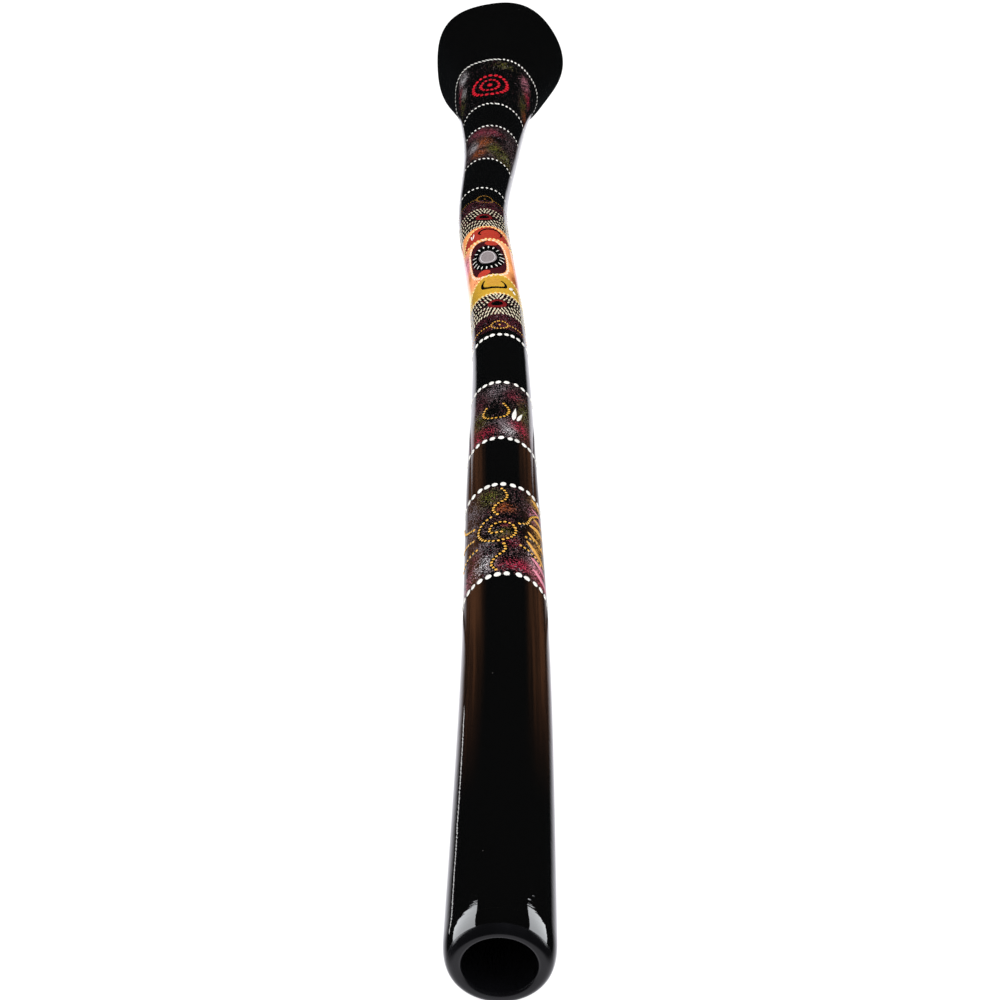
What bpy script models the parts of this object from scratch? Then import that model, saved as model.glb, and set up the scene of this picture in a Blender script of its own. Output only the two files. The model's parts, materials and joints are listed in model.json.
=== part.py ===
"""Didgeridoo: a moulded glass-fibre drone tube with a natural, wandering shape and a flared bell.

The instrument lies on its side. It runs along +Y from the mouth to the bell, +Z is up, and the
origin is under the middle of it, on the surface that it lies on. Two half shells meet in a
rebated joint along both sides, a laminated tape bridges each joint from inside the bore, and a
turned mouthpiece is plugged into the narrow end.
"""
import math

import bmesh
import bpy
import numpy as np
from mathutils import Matrix, Vector

# Driving dimensions, in metres.
LENGTH = 1.450             # along the tube, from the mouth's face to the bell's face
BORE_RADIUS = 0.016        # the mouthpiece's bore
SPIGOT_WALL = 0.0035       # the plugged-in part of the mouthpiece
SPIGOT_LENGTH = 0.025
SHELL_WALL = 0.0045
BELL_RADIUS = 0.0804       # mean outer radius of the bell's rim
BELL_FOOT = 0.0750         # height of the bell's centre over its flattened underside
EDGE_BREAK = 0.0012        # chamfer on the bell's rim
RIM_LAND = 0.0010          # flat ring on the mouthpiece's face
BORE_ROUND = 0.0018        # rounding between that ring and the bore
LIP_DEPTH = 0.0075         # how far back the lip's outer rounding reaches
COLLAR_LENGTH = 0.0025     # straight band between the rounding and the shells
SPIGOT_CHAMFER = 0.0008
LAP_LENGTH = 0.0040        # overlap of the rebated joint between the two shells
STRIP_WIDTH = 0.030
STRIP_THICKNESS = 0.0012
STRIP_SETBACK = 0.010      # from the spigot's end to the start of the tapes
STRIP_BELL_SETBACK = 0.012
MOUTH_RUN_MARGIN = 0.025   # straight tube beyond the spigot's end
GAP = 0.0003               # glue line between two pieces

# Sizes that follow from them.
SPIGOT_RADIUS = BORE_RADIUS + SPIGOT_WALL
SOCKET_RADIUS = SPIGOT_RADIUS + GAP
MOUTH_RADIUS = SOCKET_RADIUS + SHELL_WALL
LIP_ROUND = MOUTH_RADIUS - BORE_RADIUS - RIM_LAND - BORE_ROUND
LIP_LENGTH = LIP_DEPTH + COLLAR_LENGTH
MOUTHPIECE_LENGTH = LIP_LENGTH + SPIGOT_LENGTH
SHELL_START = LIP_LENGTH + GAP
STRAIGHT_RUN = MOUTHPIECE_LENGTH + MOUTH_RUN_MARGIN
STRIP_START = MOUTHPIECE_LENGTH + STRIP_SETBACK
STRIP_END = LENGTH - STRIP_BELL_SETBACK
EDGE_START = LENGTH - EDGE_BREAK

# The tube's course behind its straight run. Each row holds the share of the way to the bell, the
# axis's shift sideways and upwards from the straight line between the two ends, and how much the
# outer radius differs from the mouth's.
COURSE = (
    (0.00, 0.0011, -0.0013, 0.0),
    (0.13, 0.0033, -0.0052, -0.0001),
    (0.26, 0.0016, -0.0086, -0.0010),
    (0.38, 0.0008, -0.0075, -0.0029),
    (0.50, -0.0066, -0.0033, -0.0027),
    (0.62, -0.0160, -0.0062, -0.0014),
    (0.75, -0.0097, -0.0092, 0.0036),
    (0.86, -0.0061, -0.0063, 0.0156),
    (0.93, -0.0029, -0.0039, 0.0319),
    (1.00, 0.0003, 0.0, BELL_RADIUS - MOUTH_RADIUS),
)

# The bell's rim is lobed: swell, number of lobes, and the direction of the first one in degrees.
BELL_LOBES = ((0.0025, 1, 180), (0.0022, 2, 130), (0.0022, 3, 65), (0.0016, 5, -16))
BELL_LOBE_START = 0.80     # share of the length where the lobes begin
FOOT_SHARPNESS = 24        # how crisply the flattened underside turns into the lobed outline

# How finely the surfaces are divided.
SEGMENTS = 32
STATION_COUNT = 40
STATION_CROWDING = 1.5     # above 1 the stations crowd towards the bell
STATION_SPACING = 0.003    # smallest distance between two stations
STRIP_DIVISIONS = 8
LIP_STEPS = 6
SMOOTH_ANGLE = math.radians(35)

LACQUER_BLACK = (0.010, 0.009, 0.009, 1.0)
RIM_BLACK = (0.013, 0.012, 0.012, 1.0)
LAMINATE_GREY = (0.045, 0.043, 0.040, 1.0)


def clear_scene():
    """Empty the scene."""
    for item in list(bpy.data.objects):
        bpy.data.objects.remove(item, do_unlink=True)


def make_material(name, colour, roughness):
    """A plain coloured surface."""
    material = bpy.data.materials.new(name)
    material.use_nodes = True
    shader = material.node_tree.nodes["Principled BSDF"]
    shader.inputs["Base Color"].default_value = colour
    shader.inputs["Roughness"].default_value = roughness
    shader.inputs["Metallic"].default_value = 0.0
    material.diffuse_color = colour
    return material


def smooth_line(knots, values, lead_slope=None):
    """A natural cubic through the values, carried on as a straight line before the first knot."""
    steps = np.diff(knots)
    count = len(knots)
    system = np.eye(count)
    target = np.zeros(count)
    for i in range(1, count - 1):
        system[i, i - 1:i + 2] = steps[i - 1], 2 * (steps[i - 1] + steps[i]), steps[i]
        target[i] = 6 * ((values[i + 1] - values[i]) / steps[i] - (values[i] - values[i - 1]) / steps[i - 1])
    bends = np.linalg.solve(system, target)
    if lead_slope is None:
        lead_slope = (values[1] - values[0]) / steps[0] - steps[0] * (2 * bends[0] + bends[1]) / 6

    def value_at(place):
        if place <= knots[0]:
            return values[0] + lead_slope * (place - knots[0])
        i = min(int(np.searchsorted(knots, place)) - 1, count - 2)
        before = (place - knots[i]) / steps[i]
        after = 1 - before
        curve = (after ** 3 - after) * bends[i] + (before ** 3 - before) * bends[i + 1]
        return after * values[i] + before * values[i + 1] + curve * steps[i] ** 2 / 6

    return value_at


KNOTS = [STRAIGHT_RUN + share * (LENGTH - STRAIGHT_RUN) for share, _, _, _ in COURSE]
sideways = smooth_line(KNOTS, [row[1] for row in COURSE])
rise = smooth_line(KNOTS, [row[2] for row in COURSE])
mean_radius = smooth_line(KNOTS, [MOUTH_RADIUS + row[3] for row in COURSE], lead_slope=0.0)


def axis_point(place):
    """The point of the tube's axis at a distance from the mouth."""
    height = MOUTH_RADIUS + (BELL_FOOT - MOUTH_RADIUS) * place / LENGTH
    return Vector((sideways(place), place, height + rise(place)))


def axes_at(place):
    """The right, up and forward directions of the tube's section at a distance from the mouth."""
    step = 0.001
    forward = (axis_point(place + step) - axis_point(place)).normalized()
    right = forward.cross(Vector((0, 0, 1))).normalized()
    return right, right.cross(forward), forward


def rim_swell(angle):
    """How far the bell's rim stands outside its mean radius in one direction."""
    lobes = sum(swell * math.cos(count * angle - math.radians(first)) for swell, count, first in BELL_LOBES)
    radius = BELL_RADIUS + lobes
    down = -math.sin(angle)
    if down > 0:
        power = FOOT_SHARPNESS
        radius = (radius ** -power + (BELL_FOOT / down) ** -power) ** (-1 / power)
    return radius - BELL_RADIUS


def outer_radius(place, angle):
    """The tube's outer radius, with the bell's lobes growing in smoothly."""
    share = min(max((place / LENGTH - BELL_LOBE_START) / (1 - BELL_LOBE_START), 0.0), 1.0)
    return mean_radius(place) + rim_swell(angle) * share ** 2 * (3 - 2 * share)


def tube_point(place, angle, depth):
    """A point of the tube's section, a depth below its outer skin."""
    right, up, _ = axes_at(place)
    direction = right * math.cos(angle) + up * math.sin(angle)
    return axis_point(place) + direction * (outer_radius(place, angle) - depth)


def facet_point(place, angle, depth):
    """A point on the flat facet of the wall that lies in a direction, a depth below the skin."""
    facet = math.tau / SEGMENTS
    first = math.floor(angle / facet)
    near = tube_point(place, first * facet, depth)
    far = tube_point(place, (first + 1) * facet, depth)
    return near.lerp(far, angle / facet - first)


def stations():
    """The distances from the mouth of the sections that every lofted piece shares."""
    fixed = [SHELL_START, STRIP_START, STRIP_END, EDGE_START, LENGTH]
    places = list(fixed)
    for i in range(1, STATION_COUNT):
        share = 1 - (1 - i / STATION_COUNT) ** STATION_CROWDING
        place = SHELL_START + share * (LENGTH - SHELL_START)
        if all(abs(place - other) > STATION_SPACING for other in fixed):
            places.append(place)
    return sorted(places)


def add_object(name, mesh, material, collection):
    """Put a mesh into the collection under its own name, with its own material."""
    mesh.materials.append(material)
    item = bpy.data.objects.new(name, mesh)
    collection.objects.link(item)
    return item


def loft(name, sections, material, collection):
    """A closed solid through a row of closed sections, with a flat cap at each end."""
    mesh = bpy.data.meshes.new(name)
    solid = bmesh.new()
    rows = [[solid.verts.new(point) for point in section] for section in sections]
    for near, far in zip(rows, rows[1:]):
        for i in range(len(near)):
            j = (i + 1) % len(near)
            solid.faces.new((near[i], near[j], far[j], far[i]))
    solid.faces.new(rows[0])
    solid.faces.new(rows[-1])
    bmesh.ops.recalc_face_normals(solid, faces=solid.faces)
    solid.to_mesh(mesh)
    solid.free()
    mesh.shade_smooth()
    mesh.set_sharp_from_angle(angle=SMOOTH_ANGLE)
    return add_object(name, mesh, material, collection)


def rim_break(place):
    """The depth of the chamfer on the bell's rim."""
    return max(place - EDGE_START, 0.0)


def upper_section(place):
    """The upper shell's section: its outer half of the wall reaches down over the lower shell."""
    lap = LAP_LENGTH / 2 / outer_radius(place, 0.0)
    facets = [math.tau * i / SEGMENTS for i in range(SEGMENTS // 2 + 1)]
    skin = rim_break(place)
    lining = SHELL_WALL - rim_break(place)
    ledge = (SHELL_WALL - GAP) / 2
    outline = [(angle, skin) for angle in [-lap] + facets + [math.pi + lap]]
    outline += [(math.pi + lap, ledge), (math.pi - lap, ledge)]
    outline += [(angle, lining) for angle in [math.pi - lap] + facets[-2:0:-1] + [lap]]
    outline += [(lap, ledge), (-lap, ledge)]
    return [tube_point(place, angle, depth) for angle, depth in outline]


def lower_section(place):
    """The lower shell's section: its inner half of the wall reaches up inside the upper shell."""
    lap = LAP_LENGTH / 2 / outer_radius(place, 0.0)
    slack = GAP / (outer_radius(place, 0.0) - SHELL_WALL)
    facets = [math.pi + math.tau * i / SEGMENTS for i in range(SEGMENTS // 2 + 1)]
    skin = rim_break(place)
    lining = SHELL_WALL - rim_break(place)
    ledge = (SHELL_WALL + GAP) / 2
    low_left, low_right = math.pi + lap + slack, math.tau - lap - slack
    high_left, high_right = math.pi - lap + slack, math.tau + lap - slack
    outline = [(angle, skin) for angle in [low_left] + facets[1:-1] + [low_right]]
    outline += [(low_right, ledge), (high_right, ledge)]
    outline += [(angle, lining) for angle in [high_right] + facets[::-1] + [high_left]]
    outline += [(high_left, ledge), (low_left, ledge)]
    return [tube_point(place, angle, depth) for angle, depth in outline]


def strip_section(place, seam_angle):
    """A seam tape's section, lying on the facets of the bore's wall."""
    half_angle = STRIP_WIDTH / 2 / (mean_radius(place) - SHELL_WALL)
    shares = [2 * i / STRIP_DIVISIONS - 1 for i in range(STRIP_DIVISIONS + 1)]
    glued = SHELL_WALL + GAP
    bare = glued + STRIP_THICKNESS
    outline = [(seam_angle + share * half_angle, glued) for share in shares]
    outline += [(seam_angle + share * half_angle, bare) for share in reversed(shares)]
    return [facet_point(place, angle, depth) for angle, depth in outline]


def make_shells(collection):
    """The two moulded half shells."""
    lacquer = {half: make_material(half + "_lacquer", LACQUER_BLACK, 0.08) for half in ("upper", "lower")}
    places = stations()
    upper = loft("upper_shell", [upper_section(p) for p in places], lacquer["upper"], collection)
    lower = loft("lower_shell", [lower_section(p) for p in places], lacquer["lower"], collection)
    return [upper, lower]


def make_seam_strips(collection):
    """The laminated tapes that bridge the two glued joints inside the bore."""
    places = [place for place in stations() if STRIP_START <= place <= STRIP_END]
    strips = []
    for name, seam_angle in (("right_seam_strip", 0.0), ("left_seam_strip", math.pi)):
        laminate = make_material(name + "_laminate", LAMINATE_GREY, 0.55)
        sections = [strip_section(place, seam_angle) for place in places]
        strips.append(loft(name, sections, laminate, collection))
    return strips


def mouthpiece_profile():
    """The turned mouthpiece's outline: radius, and height over its face."""
    quarter = [math.pi / 2 * i / LIP_STEPS for i in range(LIP_STEPS + 1)]
    shoulder = MOUTH_RADIUS - LIP_ROUND
    outline = [(shoulder + LIP_ROUND * math.sin(t), LIP_DEPTH * (math.cos(t) - 1)) for t in quarter]
    outline += [(MOUTH_RADIUS, -LIP_LENGTH), (SPIGOT_RADIUS, -LIP_LENGTH)]
    outline += [(SPIGOT_RADIUS, SPIGOT_CHAMFER - MOUTHPIECE_LENGTH)]
    outline += [(SPIGOT_RADIUS - SPIGOT_CHAMFER, -MOUTHPIECE_LENGTH), (BORE_RADIUS, -MOUTHPIECE_LENGTH)]
    inner = [t for t in quarter if t < math.pi / 2]
    outline += [(BORE_RADIUS + BORE_ROUND * (1 - math.cos(t)), BORE_ROUND * (math.sin(t) - 1)) for t in inner]
    outline.append((BORE_RADIUS + BORE_ROUND, 0.0))
    return outline


def make_mouthpiece(collection):
    """The turned ring with a rounded lip and a spigot that plugs into the shells."""
    outline = [(radius, 0.0, height) for radius, height in mouthpiece_profile()]
    edges = [(i, (i + 1) % len(outline)) for i in range(len(outline))]
    mesh = bpy.data.meshes.new("mouthpiece")
    mesh.from_pydata(outline, edges, [])
    item = add_object("mouthpiece", mesh, make_material("mouthpiece_gloss", RIM_BLACK, 0.10), collection)
    turn = item.modifiers.new("turn", "SCREW")
    turn.angle = math.tau
    turn.steps = SEGMENTS
    turn.render_steps = SEGMENTS
    turn.use_merge_vertices = True
    turn.merge_threshold = 0.00001
    turn.use_smooth_shade = True
    right, up, forward = axes_at(0.0)
    facing = Matrix((right, up, -forward)).transposed()
    item.matrix_world = Matrix.Translation(axis_point(0.0)) @ facing.to_4x4()
    return [item]


def stand_on_origin(pieces):
    """Parent the pieces to an empty that puts the origin under their middle, on the surface."""
    bpy.context.view_layer.update()
    graph = bpy.context.evaluated_depsgraph_get()
    corners = []
    for piece in pieces:
        mesh = piece.evaluated_get(graph).to_mesh()
        corners += [piece.matrix_world @ vertex.co for vertex in mesh.vertices]
        piece.evaluated_get(graph).to_mesh_clear()
    low = [min(corner[i] for corner in corners) for i in range(3)]
    high = [max(corner[i] for corner in corners) for i in range(3)]
    holder = bpy.data.objects.new("didgeridoo_origin", None)
    pieces[0].users_collection[0].objects.link(holder)
    holder.location = (-(low[0] + high[0]) / 2, -(low[1] + high[1]) / 2, -low[2])
    for piece in pieces:
        piece.parent = holder


def main():
    """Build the instrument."""
    clear_scene()
    collection = bpy.data.collections.new("Didgeridoo")
    bpy.context.scene.collection.children.link(collection)
    pieces = make_shells(collection) + make_seam_strips(collection) + make_mouthpiece(collection)
    stand_on_origin(pieces)


main()
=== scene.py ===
"""The visual model of a didgeridoo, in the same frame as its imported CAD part.

The tube's skin follows the same course and section as the CAD shells, more finely divided. The paint
marks lie on it as thin raised pieces. Each mark is placed by its distance from the mouth and by its
arc length from the tube's top line, both in metres, positive to the right seen from the mouth end.
"""

import functools
import json
import math
import random

import bmesh
import bpy
import numpy as np
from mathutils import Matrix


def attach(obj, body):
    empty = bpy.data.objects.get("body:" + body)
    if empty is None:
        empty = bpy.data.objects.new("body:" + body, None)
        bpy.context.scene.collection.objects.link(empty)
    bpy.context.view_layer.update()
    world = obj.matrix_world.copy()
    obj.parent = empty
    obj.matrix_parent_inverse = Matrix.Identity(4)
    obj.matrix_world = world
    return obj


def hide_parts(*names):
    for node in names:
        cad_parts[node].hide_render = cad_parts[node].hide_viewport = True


# The tube, with the same values as the CAD part.
LENGTH = 1.450
BORE_RADIUS = 0.016
SPIGOT_WALL = 0.0035
SPIGOT_LENGTH = 0.025
SHELL_WALL = 0.0045
BELL_RADIUS = 0.0804
BELL_FOOT = 0.0750
EDGE_BREAK = 0.0012
RIM_LAND = 0.0010
BORE_ROUND = 0.0018
LIP_DEPTH = 0.0075
COLLAR_LENGTH = 0.0025
SPIGOT_CHAMFER = 0.0008
LAP_LENGTH = 0.0040
STRIP_WIDTH = 0.030
STRIP_THICKNESS = 0.0012
STRIP_SETBACK = 0.010
STRIP_BELL_SETBACK = 0.012
MOUTH_RUN_MARGIN = 0.025
GAP = 0.0003
SPIGOT_RADIUS = BORE_RADIUS + SPIGOT_WALL
MOUTH_RADIUS = SPIGOT_RADIUS + GAP + SHELL_WALL
LIP_ROUND = MOUTH_RADIUS - BORE_RADIUS - RIM_LAND - BORE_ROUND
LIP_LENGTH = LIP_DEPTH + COLLAR_LENGTH
MOUTHPIECE_LENGTH = LIP_LENGTH + SPIGOT_LENGTH
STRAIGHT_RUN = MOUTHPIECE_LENGTH + MOUTH_RUN_MARGIN
STRIP_START = MOUTHPIECE_LENGTH + STRIP_SETBACK
STRIP_END = LENGTH - STRIP_BELL_SETBACK
BELL_LOBES = ((0.0025, 1, 180), (0.0022, 2, 130), (0.0022, 3, 65), (0.0016, 5, -16))
BELL_LOBE_START = 0.80
FOOT_SHARPNESS = 24
COURSE = (
    (0.00, 0.0011, -0.0013, 0.0),
    (0.13, 0.0033, -0.0052, -0.0001),
    (0.26, 0.0016, -0.0086, -0.0010),
    (0.38, 0.0008, -0.0075, -0.0029),
    (0.50, -0.0066, -0.0033, -0.0027),
    (0.62, -0.0160, -0.0062, -0.0014),
    (0.75, -0.0097, -0.0092, 0.0036),
    (0.86, -0.0061, -0.0063, 0.0156),
    (0.93, -0.0029, -0.0039, 0.0319),
    (1.00, 0.0003, 0.0, BELL_RADIUS - MOUTH_RADIUS),
)

# Fine details that only the visual model has.
JOINT_LINE = 0.00006       # visible width of the filled joint between the shells
COLLAR_LINE = 0.00001      # between the mouthpiece and the shells
NOSE_LENGTH = 0.018        # how far back the lacquered end is rounded
NOSE_FULLNESS = 3.5        # the higher, the sooner the rounding reaches the full radius
SATIN_LENGTH = 0.0030      # the lacquer ends this far from the mouth's face
BELL_TRIM = 0.0004         # keeps the smooth rim inside the CAD's flat-sided one
SINK = 0.00008             # how far a paint mark's edge reaches into the skin
PANEL_HEIGHT = 0.00012     # thickness of a painted panel
STRIPE_HEIGHT = 0.00012    # thickness of a plain stripe
UNDER_STROKE_WIDTH = 0.0032
UNDER_STROKE_HEIGHT = 0.00018
LINE_DOT = (0.0020, 0.0020, 0.00034, 0.00012)  # length, width, height, and the stroke under it
LINE_DOT_SPACING = 0.0030
RING_DOT_SHIFT = 0.0003    # how far a ring's dots stray along the tube
# The dots of the white rings on either side of the middle: length, width, pitch, height and how
# much their spacing varies.
NEAR_RING = (0.0046, 0.0042, 0.0055, 0.0005, 0.12)
FAR_RING = (0.0040, 0.0027, 0.0046, 0.00025, 0.05)
LINE_DOT_SHIFT = 0.0001    # how far a line's dots stray each way
DASH_PITCH = 0.0029        # between the dashes of a row, round the tube

# How finely the surfaces are divided.
ARC_STEPS = 96
STATION_COUNT = 300
STATION_CROWDING = 1.3
EDGE_STEPS = 6
LATHE_STEPS = 192
SMOOTH_ANGLE = math.radians(35)
NOSE_STEPS = 20
SWITCH_STEP = 0.0001       # half the width over which a band's ground changes
STATION_CLEARANCE = 0.0006
STROKE_STEP = 0.0004
CURVE_STEPS = 400

# The painted bands, by their distance from the mouth.
WHITE_RINGS = (0.270, 0.376, 0.441, 0.528, 0.609, 0.941, 1.030, 1.130, 1.195, 1.316)
FIRST_BAND = (0.270, 0.376)
SECOND_BAND = (0.441, 0.528)
NEAR_STIPPLE = (0.618, 0.645)
NEAR_DASHES = (0.645, 0.683)
GROUND = (0.683, 0.832)
FAR_DASHES = (0.832, 0.880)
FAR_STIPPLE = (0.880, 0.903)
THIRD_BAND = (1.030, 1.130)
LAST_BAND = (1.195, 1.316)

# The ground of each band: how densely it covers the black, and its colour.
GROUNDS = (
    (FIRST_BAND, 0.34, "dusk"),
    (SECOND_BAND, 0.34, "dusk"),
    (NEAR_STIPPLE, 0.70, "maroon"),
    (NEAR_DASHES, 0.25, "maroon"),
    (GROUND, 0.97, "apricot"),
    (FAR_DASHES, 0.25, "maroon"),
    (FAR_STIPPLE, 0.70, "maroon"),
    (THIRD_BAND, 0.34, "dusk"),
    (LAST_BAND, 0.03, "dusk"),
)


def paint_colour(red, green, blue):
    """A colour given on the usual scale of 0 to 255, as linear values."""
    shares = [value / 255 for value in (red, green, blue)]
    linear = [s / 12.92 if s <= 0.04045 else ((s + 0.055) / 1.055) ** 2.4 for s in shares]
    return tuple(linear) + (1.0,)


COLOUR_LEVELS = {
    "black": (5, 5, 5),
    "white": (246, 244, 238),
    "cream": (224, 213, 184),
    "pale_yellow": (246, 226, 150),
    "yellow": (233, 174, 66),
    "amber": (240, 178, 84),
    "apricot": (246, 164, 100),
    "shell_pink": (250, 222, 192),
    "rose": (150, 58, 76),
    "dusk": (92, 73, 74),
    "old_gold": (150, 106, 36),
    "panel_yellow": (216, 168, 50),
    "khaki": (204, 152, 54),
    "panel_red": (192, 60, 44),
    "peach": (244, 160, 112),
    "deep_red": (124, 22, 26),
    "signal_red": (196, 16, 36),
    "maroon": (98, 40, 52),
    "dark_maroon": (70, 20, 28),
    "pink_red": (200, 52, 82),
    "pink": (238, 150, 170),
    "mauve": (142, 130, 136),
    "pale_grey": (224, 220, 224),
    "stone_grey": (150, 140, 142),
    "olive": (112, 112, 46),
    "rust": (176, 92, 48),
    # The brown of the painted reflection on the lacquer's sides.
    "brown": (68, 42, 26),
}
COLOURS = {name: paint_colour(*levels) for name, levels in COLOUR_LEVELS.items()}

# Patches of sprayed colour: place, offset from the top line, half length and half width in
# millimetres, the colour, and how densely the spray covers the ground there.
PATCHES = (
    (362, -10, 9, 8, "olive", 0.80),
    (352, -26, 14, 8, "mauve", 0.70),
    (347, 1, 6, 7, "rust", 0.85),
    (335, -24, 12, 9, "mauve", 0.70),
    (318, 1, 7, 6, "olive", 0.75),
    (327, 1, 4, 6, "rose", 0.60),
    (332, 14, 16, 6, "black", 0.30),
    (306, 4, 7, 6, "rose", 0.55),
    (303, -13, 8, 7, "mauve", 0.75),
    (290, -26, 12, 10, "rose", 0.55),
    (284, -13, 8, 7, "pale_grey", 0.90),
    (281, 8, 6, 12, "pink_red", 0.95),
    (283, 20, 10, 5, "pink", 0.95),
    (300, 19, 10, 4, "pale_grey", 0.70),
    (350, 21, 9, 4, "pink", 0.75),
    (368, 25, 6, 6, "yellow", 1.00),
    (355, 26, 4, 6, "pink", 1.00),
    (330, 27, 12, 6, "amber", 1.10),
    (307, 24, 8, 6, "amber", 1.10),
    (294, 23, 7, 6, "pink", 1.10),
    (279, 28, 8, 8, "pink_red", 1.00),
    (514, -3, 9, 8, "mauve", 0.75),
    (507, 10, 7, 8, "rose", 0.80),
    (500, -21, 16, 10, "maroon", 0.80),
    (485, 19, 20, 7, "olive", 0.55),
    (480, -6, 10, 6, "black", 0.20),
    (474, -20, 12, 9, "olive", 0.60),
    (464, 2, 7, 8, "mauve", 0.75),
    (460, 14, 11, 8, "pink_red", 0.85),
    (452, 4, 6, 6, "pale_grey", 0.90),
    (452, -14, 8, 10, "pink_red", 0.75),
    (1116, -16, 10, 12, "rose", 0.90),
    (1108, 2, 10, 12, "rose", 0.75),
    (1090, 6, 10, 10, "black", 0.25),
    (1082, -8, 14, 10, "rust", 0.85),
    (1076, -18, 14, 5, "pale_grey", 0.85),
    (1062, 6, 14, 8, "olive", 0.75),
    (1050, -10, 12, 8, "rust", 0.90),
    (1046, 20, 16, 10, "olive", 0.75),
    (1296, -42, 14, 8, "pale_grey", 0.80),
    (1270, -50, 18, 7, "pink_red", 0.70),
    (1262, -41, 12, 6, "pale_grey", 0.75),
    (1240, -46, 20, 8, "olive", 0.45),
    (1285, 40, 16, 8, "pink", 0.60),
    (1262, 48, 16, 8, "pink_red", 0.65),
    (1235, 40, 24, 7, "olive", 0.70),
    (1216, 48, 16, 8, "rust", 0.55),
    (1300, 10, 8, 14, "olive", 0.35),
    (340, -34, 24, 9, "mauve", 0.80),
    (300, -34, 14, 8, "mauve", 0.80),
    (277, -32, 8, 10, "pink", 0.70),
    (498, -30, 18, 8, "mauve", 0.70),
    (460, -28, 14, 8, "rose", 0.80),
    (470, 28, 20, 8, "mauve", 0.60),
    (1070, -30, 30, 10, "mauve", 0.85),
    (1105, 26, 18, 8, "dusk", 0.60),
    (1060, 34, 20, 6, "mauve", 0.50),
    (735, 31, 30, 8, "pink_red", 0.90),
    (770, -28, 20, 8, "pink", 0.90),
    (700, -32, 22, 12, "pale_yellow", 0.95),
    (698, 34, 18, 9, "pale_yellow", 0.95),
    (722, 20, 10, 5, "rust", 0.80),
    (722, -20, 12, 8, "peach", 0.90),
    (790, 14, 16, 10, "peach", 0.90),
)

# The painted brown reflection on the lacquer's sides: how far out it starts and is full, and where it
# begins and ends.
BROWN_REFLECTION_SIDES = (0.40, 0.80)
BROWN_REFLECTION_START = (0.08, 0.24)
BROWN_REFLECTION_END = (0.52, 0.44)
ENAMEL_SHADE = 0.84        # the darkest share of an enamel's colour

# Glows on the floor: start, end, reach to each side and strength.
FLOOR_SHEENS = (
    (-0.80, -0.42, 0.078, 1.20),
    (-0.42, -0.17, 0.072, 0.80),
    (-0.17, 0.26, 0.150, 1.30),
    (0.26, 0.76, 0.150, 1.20),
)
SHEEN_FADE = 0.02

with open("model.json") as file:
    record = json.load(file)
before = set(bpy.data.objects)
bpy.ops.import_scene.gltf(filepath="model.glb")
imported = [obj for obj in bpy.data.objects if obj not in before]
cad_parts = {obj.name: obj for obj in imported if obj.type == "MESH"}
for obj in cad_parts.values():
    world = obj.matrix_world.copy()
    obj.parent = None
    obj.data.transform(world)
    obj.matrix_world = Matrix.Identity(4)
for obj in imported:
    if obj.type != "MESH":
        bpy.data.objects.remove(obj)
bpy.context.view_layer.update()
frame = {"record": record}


# The tube's course.

def smooth_line(knots, values, lead_slope=None):
    """A natural cubic through the values, carried on as a straight line before the first knot."""
    knots = np.array(knots)
    values = np.array(values)
    steps = np.diff(knots)
    slopes = np.diff(values) / steps
    count = len(knots)
    system = np.eye(count)
    target = np.zeros(count)
    for i in range(1, count - 1):
        system[i, i - 1:i + 2] = steps[i - 1], 2 * (steps[i - 1] + steps[i]), steps[i]
        target[i] = 6 * (slopes[i] - slopes[i - 1])
    bends = np.linalg.solve(system, target)
    if lead_slope is None:
        lead_slope = slopes[0] - steps[0] * (2 * bends[0] + bends[1]) / 6

    def value_at(place):
        place = np.asarray(place, float)
        i = np.clip(np.searchsorted(knots, place) - 1, 0, count - 2)
        before = (place - knots[i]) / steps[i]
        after = 1 - before
        curve = (after ** 3 - after) * bends[i] + (before ** 3 - before) * bends[i + 1]
        inside = after * values[i] + before * values[i + 1] + curve * steps[i] ** 2 / 6
        return np.where(place <= knots[0], values[0] + lead_slope * (place - knots[0]), inside)

    return value_at


KNOTS = [STRAIGHT_RUN + row[0] * (LENGTH - STRAIGHT_RUN) for row in COURSE]
sideways = smooth_line(KNOTS, [row[1] for row in COURSE])
rise = smooth_line(KNOTS, [row[2] for row in COURSE])
mean_radius = smooth_line(KNOTS, [MOUTH_RADIUS + row[3] for row in COURSE], lead_slope=0.0)


def axis_points(places):
    """The points of the tube's axis, in the CAD source's own coordinates."""
    places = np.asarray(places, float)
    height = MOUTH_RADIUS + (BELL_FOOT - MOUTH_RADIUS) * places / LENGTH
    return np.stack([sideways(places), places, height + rise(places)], -1)


def unit(vectors):
    """The same vectors at length 1."""
    return vectors / np.linalg.norm(vectors, axis=-1, keepdims=True)


def axes_at(places):
    """The right, up and forward directions of the tube's sections."""
    forward = unit(axis_points(np.asarray(places) + 0.001) - axis_points(places))
    right = unit(np.cross(forward, np.array([0.0, 0.0, 1.0])))
    return right, np.cross(right, forward), forward


def rim_swell(angles):
    """How far the bell's rim stands outside its mean radius."""
    lobes = sum(swell * np.cos(count * angles - math.radians(first)) for swell, count, first in BELL_LOBES)
    radius = BELL_RADIUS + lobes
    down = np.maximum(-np.sin(angles), 0.0)
    power = FOOT_SHARPNESS
    return (radius ** -power + (down / BELL_FOOT) ** power) ** (-1 / power) - BELL_RADIUS


def outer_radius(places, angles):
    """The tube's outer radius, with the bell's lobes growing in smoothly."""
    share = np.clip((np.asarray(places) / LENGTH - BELL_LOBE_START) / (1 - BELL_LOBE_START), 0, 1)
    return mean_radius(places) + (rim_swell(np.asarray(angles)) - BELL_TRIM) * share ** 2 * (3 - 2 * share)


def frame_shift():
    """The step from the CAD source's coordinates to the shared frame, from the mouth's mount."""
    mount = next(m for m in frame["record"]["mounts"] if m["name"] == "mouth_rim")
    _, up, _ = axes_at(0.0)
    land = axis_points(0.0) + up * (BORE_RADIUS + BORE_ROUND + RIM_LAND / 2)
    return np.array(mount["pos_m"]) - land


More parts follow.
